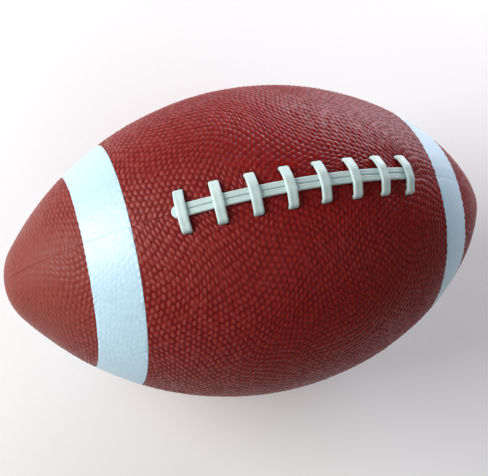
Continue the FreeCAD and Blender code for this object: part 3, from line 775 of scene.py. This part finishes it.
def lace_section():
    """The lace's section for a width and thickness of 2: full edges and a shallow groove."""
    squareness = 7
    groove_depth, groove_width = 0.07, 0.20
    x = np.sin(np.linspace(-math.pi / 2, math.pi / 2, 17))
    z = (1 - np.abs(x) ** squareness) ** 0.5
    z = z * (1 - groove_depth * np.exp(-((x / groove_width) ** 2)))
    top = np.stack([x, z], axis=-1)
    bottom = np.stack([x[::-1], -z[::-1]], axis=-1)
    return np.concatenate([top, bottom[1:-1]])


def lace_route():
    """The whole lace as one route, from its free end to its other end, about the pole."""
    surface_fall = HOLE_ACROSS ** 2 / (2 * HALF_WIDTH)
    half_thick = LACE_THICKNESS / 2
    inside = SIDE_RADIUS - surface_fall - FACING_IN - FACING_CLEARANCE - half_thick
    strand_height = SIDE_RADIUS + LACE_GAP + half_thick
    strand_across = STRAND_WIDTH / 2 + LACE_GAP
    cross_height = strand_height + LACE_THICKNESS + LACE_GAP
    shoulder = SIDE_RADIUS + SHOULDER_LIFT
    knee = strand_across + 1.9
    free_end = (0, -HOLE_ACROSS - 3.9, inside - 0.6)
    tail_run = 6.0
    turn_back = 1.4
    fold_wide = (0.76, 0.65, 0)
    corner_wide = (0.6, -0.6, 0)
    corner_bend = 0.8
    along, across = np.array([1.0, 0, 0]), np.array([0, 1.0, 0])
    corners = []

    def put(point, degrees, wide, bend, width=LACE_WIDTH):
        corners.append(Corner(swing(point, degrees), swing(wide, degrees), bend, width))

    def flat_wide(start, stop):
        run = stop - start
        return unit(np.array([-run[1], run[0], 0.0])) * (1 if run[1] < 0 else -1)

    angles = [CROSS_ANGLE * index - HALF_ROW for index in range(CROSSES)]
    # the free end, inside at the first cross, and then the crosses
    put(free_end, -HALF_ROW - 4.6, along, 0)
    for index, angle in enumerate(angles):
        near_hole, far_hole = (0, -HOLE_ACROSS, inside), (0, HOLE_ACROSS, inside)
        come = along
        if index:
            come = flat_wide(swing(far_hole, angle - CROSS_ANGLE), swing(near_hole, angle))
        put(near_hole, angle, come, INSIDE_BEND)
        put((0, -HOLE_ACROSS, shoulder), angle, along, SHOULDER_BEND)
        put((0, -knee, cross_height), angle, along, KNEE_BEND)
        put((0, knee, cross_height), angle, along, KNEE_BEND)
        put((0, HOLE_ACROSS, shoulder), angle, along, SHOULDER_BEND)
        go = fold_wide
        if index + 1 < CROSSES:
            go = flat_wide(swing(far_hole, angle), swing(near_hole, angle + CROSS_ANGLE))
        put(far_hole, angle, go, INSIDE_BEND)

    # up at the right end, along to the bight at the left end, and back to the other end
    right = HALF_ROW
    corner = (tail_run - 0.5, strand_across + turn_back, inside)
    put(corner, right, corner_wide, corner_bend, STRAND_WIDTH)
    put((0, strand_across, inside), right, -across, STRAND_BEND, STRAND_WIDTH)
    put((0, strand_across, strand_height), right, -across, STRAND_BEND, STRAND_WIDTH)
    poke = 2.4
    left = -HALF_ROW - math.degrees((LACE_WIDTH / 2 + poke - STRAND_WIDTH) / SIDE_RADIUS)
    steps = 44
    spread = np.linspace(right, left, steps)[2:]
    for angle in spread:
        put((0, strand_across, strand_height), angle, -across, 0, STRAND_WIDTH)
    for turn in np.radians(np.arange(15.0, 180.0, 15.0)):
        inward = (math.sin(turn), -math.cos(turn), 0)
        place_at = (-strand_across * inward[0], -strand_across * inward[1], strand_height)
        put(place_at, left, inward, 0, STRAND_WIDTH)
    for angle in spread[::-1]:
        put((0, -strand_across, strand_height), angle, across, 0, STRAND_WIDTH)
    put((0, -strand_across, strand_height), right, across, STRAND_BEND, STRAND_WIDTH)
    put((0, -strand_across, inside), right, across, STRAND_BEND, STRAND_WIDTH)
    put((tail_run, -strand_across, inside), right, across, 0, STRAND_WIDTH)
    return corners


def build_lace(material):
    """Sweeps the lace's section along its route."""
    points, wides, widths = route_stations(lace_route())
    tangents = np.gradient(points, axis=0)
    tangents /= np.linalg.norm(tangents, axis=1)[:, None]
    wides = wides - tangents * np.sum(wides * tangents, axis=1)[:, None]
    wides /= np.linalg.norm(wides, axis=1)[:, None]
    thins = np.cross(tangents, wides)
    section = lace_section()
    pattern = bmesh.new()
    rows = []
    # both ends taper over their last two rings
    taper = (0.55, 0.85)
    shrink = np.ones(len(points))
    shrink[:2] = taper
    shrink[-2:] = taper[::-1]
    for point, wide, thin, width, size in zip(points, wides, thins, widths, shrink):
        ring = (
            point
            + section[:, :1] * wide * (width / 2 * size)
            + section[:, 1:] * thin * (LACE_THICKNESS / 2 * size)
            - np.array([0, 0, POLE_DROP])
        )
        rows.append(add_row(pattern, ring))
    for first, second in zip(rows, rows[1:]):
        bridge(pattern, first, second)
    pattern.faces.new(rows[0])
    pattern.faces.new(rows[-1][::-1])
    for face in pattern.faces:
        face.smooth = True
    bmesh.ops.recalc_face_normals(pattern, faces=pattern.faces[:])
    place(pattern, "lace_cord", "lace_vinyl", ["lace"], material)


# ---------------------------------------------------------------- materials

class Finish:
    """A procedural material: short calls that add its nodes and joins them up."""

    def __init__(self, name):
        self.material = bpy.data.materials.new(name)
        self.material.use_nodes = True
        self.nodes = self.material.node_tree.nodes
        self.links = self.material.node_tree.links
        self.shader = self.nodes["Principled BSDF"]
        self.place = self.nodes.new("ShaderNodeTexCoord").outputs["Object"]

    def set(self, **values):
        for name, value in values.items():
            self.shader.inputs[name.replace("_", " ")].default_value = value

    def join(self, output, goal):
        self.links.new(output, goal)

    def noise(self, scale, detail=2.0, stretch=None):
        node = self.nodes.new("ShaderNodeTexNoise")
        node.inputs["Scale"].default_value = scale
        node.inputs["Detail"].default_value = detail
        place = self.place
        if stretch:
            mapping = self.nodes.new("ShaderNodeMapping")
            mapping.inputs["Scale"].default_value = stretch
            self.join(place, mapping.inputs["Vector"])
            place = mapping.outputs["Vector"]
        self.join(place, node.inputs["Vector"])
        return node.outputs["Fac"]

    def cells(self, scale):
        node = self.nodes.new("ShaderNodeTexVoronoi")
        node.inputs["Scale"].default_value = scale
        self.join(self.place, node.inputs["Vector"])
        return node.outputs["Distance"]

    def waves(self, scale, direction):
        node = self.nodes.new("ShaderNodeTexWave")
        node.bands_direction = direction
        node.inputs["Scale"].default_value = scale
        node.inputs["Distortion"].default_value = 0.6
        self.join(self.place, node.inputs["Vector"])
        return node.outputs["Fac"]

    def along(self):
        """The place along the ball's long axis, in metres."""
        node = self.nodes.new("ShaderNodeSeparateXYZ")
        self.join(self.place, node.inputs["Vector"])
        return node.outputs["X"]

    def attribute(self, name):
        node = self.nodes.new("ShaderNodeAttribute")
        node.attribute_name = name
        return node.outputs["Fac"]

    def spread(self, value, low, high, to_low=0.0, to_high=1.0):
        node = self.nodes.new("ShaderNodeMapRange")
        node.inputs["From Min"].default_value = low
        node.inputs["From Max"].default_value = high
        node.inputs["To Min"].default_value = to_low
        node.inputs["To Max"].default_value = to_high
        self.join(value, node.inputs["Value"])
        return node.outputs["Result"]

    def maths(self, kind, first, second):
        node = self.nodes.new("ShaderNodeMath")
        node.operation = kind
        for socket, value in zip(node.inputs, (first, second)):
            if isinstance(value, float):
                socket.default_value = value
            else:
                self.join(value, socket)
        return node.outputs["Value"]

    def mix(self, share, first, second):
        node = self.nodes.new("ShaderNodeMix")
        node.data_type = "RGBA"
        self.join(share, node.inputs["Factor"])
        sockets = [s for s in node.inputs if s.type == "RGBA"]
        for socket, colour in zip(sockets, (first, second)):
            if isinstance(colour, tuple):
                socket.default_value = (*colour, 1.0)
            else:
                self.join(colour, socket)
        return next(s for s in node.outputs if s.type == "RGBA")

    def colour(self, output):
        self.join(output, self.shader.inputs["Base Color"])

    def roughness(self, output):
        self.join(output, self.shader.inputs["Roughness"])

    def bump(self, height, distance, strength=1.0):
        node = self.nodes.new("ShaderNodeBump")
        node.inputs["Distance"].default_value = distance
        node.inputs["Strength"].default_value = strength
        self.join(height, node.inputs["Height"])
        self.join(node.outputs["Normal"], self.shader.inputs["Normal"])


def leather_finish():
    """Deep red pebbles with painted shade in their valleys, and a painted highlight that pales
    their tops towards the -X end.
    """
    look = Finish("pebbled_leather")
    wide = look.spread(look.noise(22.0, 3.0), 0.35, 0.65)
    fine = look.spread(look.noise(420.0, 3.0), 0.3, 0.7)
    skin = look.mix(wide, (0.245, 0.010, 0.009), (0.285, 0.013, 0.011))
    skin = look.mix(fine, skin, (0.215, 0.008, 0.008))
    top = look.spread(look.attribute("pebble"), 0.1, 0.80)
    # painted highlight: the pebble tops are paler towards the -X end; the -X tip is paler all
    # over, partly from real wear and partly as painted highlight
    painted_highlight_tops = look.maths("MULTIPLY", look.spread(look.along(), -0.010, -0.085), top)
    skin = look.mix(look.maths("MULTIPLY", painted_highlight_tops, 0.8), skin, (0.270, 0.062, 0.054))
    # painted shade: the valleys between the pebbles are darker than the tops
    valley_painted_shade = look.mix(top, (0.135, 0.005, 0.005), skin)
    # the -X tip is paler: partly real wear, partly a painted highlight
    patchy = look.spread(wide, 0.0, 1.0, 0.0, 0.02)
    tip_wear_and_highlight = look.spread(look.maths("SUBTRACT", look.along(), patchy), -0.095, -0.130)
    tip_wear_and_highlight_colour = look.mix(fine, (0.215, 0.044, 0.031), (0.185, 0.030, 0.025))
    look.colour(look.mix(tip_wear_and_highlight, valley_painted_shade, tip_wear_and_highlight_colour))
    look.roughness(look.spread(look.maths("ADD", fine, top), 0.0, 2.0, 0.60, 0.24))
    look.set(Specular_IOR_Level=0.15)
    look.bump(look.noise(1500.0, 3.0), 0.00006, 0.6)
    return look.material


def paint_finish():
    """Cool white paint, with painted shade that makes it a little greyer in the grain's valleys.
    """
    look = Finish("stripe_paint")
    fine = look.spread(look.noise(300.0, 4.0), 0.35, 0.65)
    wide = look.spread(look.noise(18.0, 3.0), 0.35, 0.7)
    film = look.mix(wide, (0.47, 0.67, 0.80), (0.44, 0.63, 0.76))
    film = look.mix(fine, film, (0.48, 0.68, 0.80))
    top = look.spread(look.attribute("pebble"), 0.0, 0.5)
    # painted shade: the paint is greyer in the grain's valleys
    look.colour(look.mix(top, (0.43, 0.62, 0.745), film))
    look.roughness(look.spread(fine, 0.0, 1.0, 0.36, 0.50))
    look.set(Coat_Weight=0.15, Coat_Roughness=0.3)
    look.bump(look.noise(1200.0, 3.0), 0.00005, 0.5)
    return look.material


def lace_finish():
    """Pale vinyl with a fine woven grain."""
    look = Finish("lace_vinyl")
    grain = look.noise(900.0, 4.0)
    wide = look.spread(look.noise(60.0, 3.0), 0.35, 0.65)
    look.colour(look.mix(wide, (0.50, 0.66, 0.65), (0.57, 0.71, 0.70)))
    look.roughness(look.spread(grain, 0.3, 0.7, 0.42, 0.58))
    look.set(Coat_Weight=0.08, Coat_Roughness=0.35)
    look.bump(look.maths("ADD", grain, look.cells(1400.0)), 0.00012, 0.7)
    return look.material


def thread_finish():
    look = Finish("waxed_thread")
    twist = look.waves(900.0, "DIAGONAL")
    look.colour(look.mix(twist, (0.30, 0.20, 0.10), (0.55, 0.42, 0.26)))
    look.roughness(look.spread(twist, 0.0, 1.0, 0.7, 0.5))
    look.bump(twist, 0.0001)
    return look.material


def woven_finish(name, dark, light, scale):
    look = Finish(name)
    weave = look.maths("MULTIPLY", look.waves(scale, "X"), look.waves(scale, "Y"))
    fuzz = look.noise(700.0, 3.0)
    look.colour(look.mix(look.maths("ADD", weave, fuzz), dark, light))
    look.roughness(look.spread(fuzz, 0.3, 0.7, 0.8, 0.95))
    look.bump(weave, 0.0002)
    return look.material


def rubber_finish(name, dark, light, rough):
    look = Finish(name)
    cloud = look.spread(look.noise(40.0, 4.0), 0.35, 0.65)
    grain = look.noise(1100.0, 3.0)
    look.colour(look.mix(cloud, dark, light))
    look.roughness(look.spread(grain, 0.3, 0.7, rough, rough + 0.15))
    look.bump(grain, 0.00005, 0.7)
    return look.material


def suede_finish():
    look = Finish("tongue_suede")
    nap = look.noise(800.0, 4.0, (1.0, 1.0, 0.5))
    look.colour(look.mix(nap, (0.16, 0.07, 0.03), (0.30, 0.15, 0.08)))
    look.roughness(look.spread(nap, 0.3, 0.7, 0.85, 0.98))
    look.set(Sheen_Weight=0.3)
    look.bump(nap, 0.0002)
    return look.material


def floor_finish():
    look = Finish("floor_paper")
    grain = look.noise(350.0, 3.0)
    look.colour(look.mix(grain, (0.90, 0.90, 0.905), (0.93, 0.93, 0.93)))
    look.roughness(look.spread(grain, 0.3, 0.7, 0.8, 0.92))
    return look.material


def finish_cad_nodes():
    """The hidden and the small CAD nodes keep their shape and get real finishes."""
    lining = woven_finish("lining_cloth", (0.30, 0.26, 0.20), (0.62, 0.57, 0.48), 420.0)
    tape = woven_finish("facing_tape", (0.20, 0.14, 0.08), (0.50, 0.38, 0.24), 500.0)
    patch = woven_finish("patch_cloth", (0.35, 0.33, 0.30), (0.65, 0.62, 0.56), 520.0)
    thread = thread_finish()
    bladder = rubber_finish("bladder_rubber", (0.020, 0.019, 0.018), (0.035, 0.033, 0.032), 0.45)
    valve = rubber_finish("valve_rubber", (0.028, 0.026, 0.025), (0.045, 0.042, 0.040), 0.40)
    plug = rubber_finish("plug_rubber", (0.014, 0.014, 0.014), (0.028, 0.027, 0.027), 0.35)
    looks = {
        "lining_": lining,
        "seam_thread_": thread,
        "lace_facing_": tape,
        "lace_tongue": suede_finish(),
        "bladder": bladder,
        "valve_housing": valve,
        "valve_plug": plug,
        "valve_patch": patch,
    }
    for name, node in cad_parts.items():
        for start, material in looks.items():
            if name.startswith(start):
                node.data.materials.clear()
                node.data.materials.append(material)


# ---------------------------------------------------------------- camera, floor and light

BALL = Vector((0, 0, HALF_WIDTH * MM))
AZIMUTH = math.radians(-53.8)
ELEVATION = math.radians(66.12)
ROLL = math.radians(40.99)
DISTANCE = 0.4428
SENSOR = 36.0
LENS = 57.441
SHIFT_RIGHT = -0.03197
SHIFT_UP = 0.00246


def camera_axes():
    """The view's right, up and forward directions."""
    back = Vector(
        (
            math.sin(AZIMUTH) * math.cos(ELEVATION),
            -math.cos(AZIMUTH) * math.cos(ELEVATION),
            math.sin(ELEVATION),
        )
    )
    forward = -back
    level = forward.cross(Vector((0, 0, 1))).normalized()
    upright = level.cross(forward)
    right = math.cos(ROLL) * level + math.sin(ROLL) * upright
    up = -math.sin(ROLL) * level + math.cos(ROLL) * upright
    return right, up, forward


def add_camera():
    """The camera at the photograph's place, shifted so that the ball sits where it does there."""
    right, up, forward = camera_axes()
    eye = BALL - forward * DISTANCE
    camera = bpy.data.objects.new("camera", bpy.data.cameras.new("camera"))
    bpy.context.scene.collection.objects.link(camera)
    camera.data.sensor_width = SENSOR
    camera.data.lens = LENS
    camera.data.clip_start = 0.01
    camera.data.clip_end = 50.0
    camera.data.shift_x = SHIFT_RIGHT
    camera.data.shift_y = SHIFT_UP
    turn = Matrix((right, up, -forward)).transposed().to_4x4()
    camera.matrix_world = Matrix.Translation(eye) @ turn
    bpy.context.scene.camera = camera


def add_light(name, direction, distance, size, power, colour):
    """A soft light; direction is (right, up, towards the camera) as the camera sees it."""
    right, up, forward = camera_axes()
    way = (right * direction[0] + up * direction[1] - forward * direction[2]).normalized()
    data = bpy.data.lights.new(name, "AREA")
    data.shape = "RECTANGLE"
    data.size, data.size_y = size
    data.energy = power
    data.color = colour
    light = bpy.data.objects.new(name, data)
    bpy.context.scene.collection.objects.link(light)
    light.location = BALL + way * distance
    light.rotation_mode = "QUATERNION"
    light.rotation_quaternion = (-way).to_track_quat("-Z", "Y")


def add_floor():
    """A plain pale disc, four metres round the ball."""
    pattern = bmesh.new()
    bmesh.ops.create_circle(pattern, cap_ends=True, segments=96, radius=4.0)
    mesh = bpy.data.meshes.new("floor")
    pattern.to_mesh(mesh)
    pattern.free()
    floor = bpy.data.objects.new("floor", mesh)
    floor.data.materials.append(floor_finish())
    bpy.context.scene.collection.objects.link(floor)


def add_world():
    """A faint cool light from all round."""
    world = bpy.data.worlds.new("studio")
    world.use_nodes = True
    background = world.node_tree.nodes["Background"]
    background.inputs["Color"].default_value = (0.95, 0.97, 1.0, 1.0)
    background.inputs["Strength"].default_value = 0.06
    bpy.context.scene.world = world


build_panels(leather_finish(), paint_finish())
build_lace(lace_finish())
finish_cad_nodes()
add_floor()
add_world()
add_camera()
add_light("key", (-0.72, 0.20, 0.60), 1.2, (0.8, 0.8), 20.0, (1.0, 0.985, 0.96))
add_light("rim", (0.46, 0.86, -0.23), 1.0, (1.0, 0.3), 11.0, (0.92, 0.90, 1.0))
add_light("fill", (0.60, -0.20, 0.77), 1.3, (1.1, 1.1), 4.3, (1.0, 0.98, 0.96))
bpy.context.scene.view_settings.view_transform = "Standard"
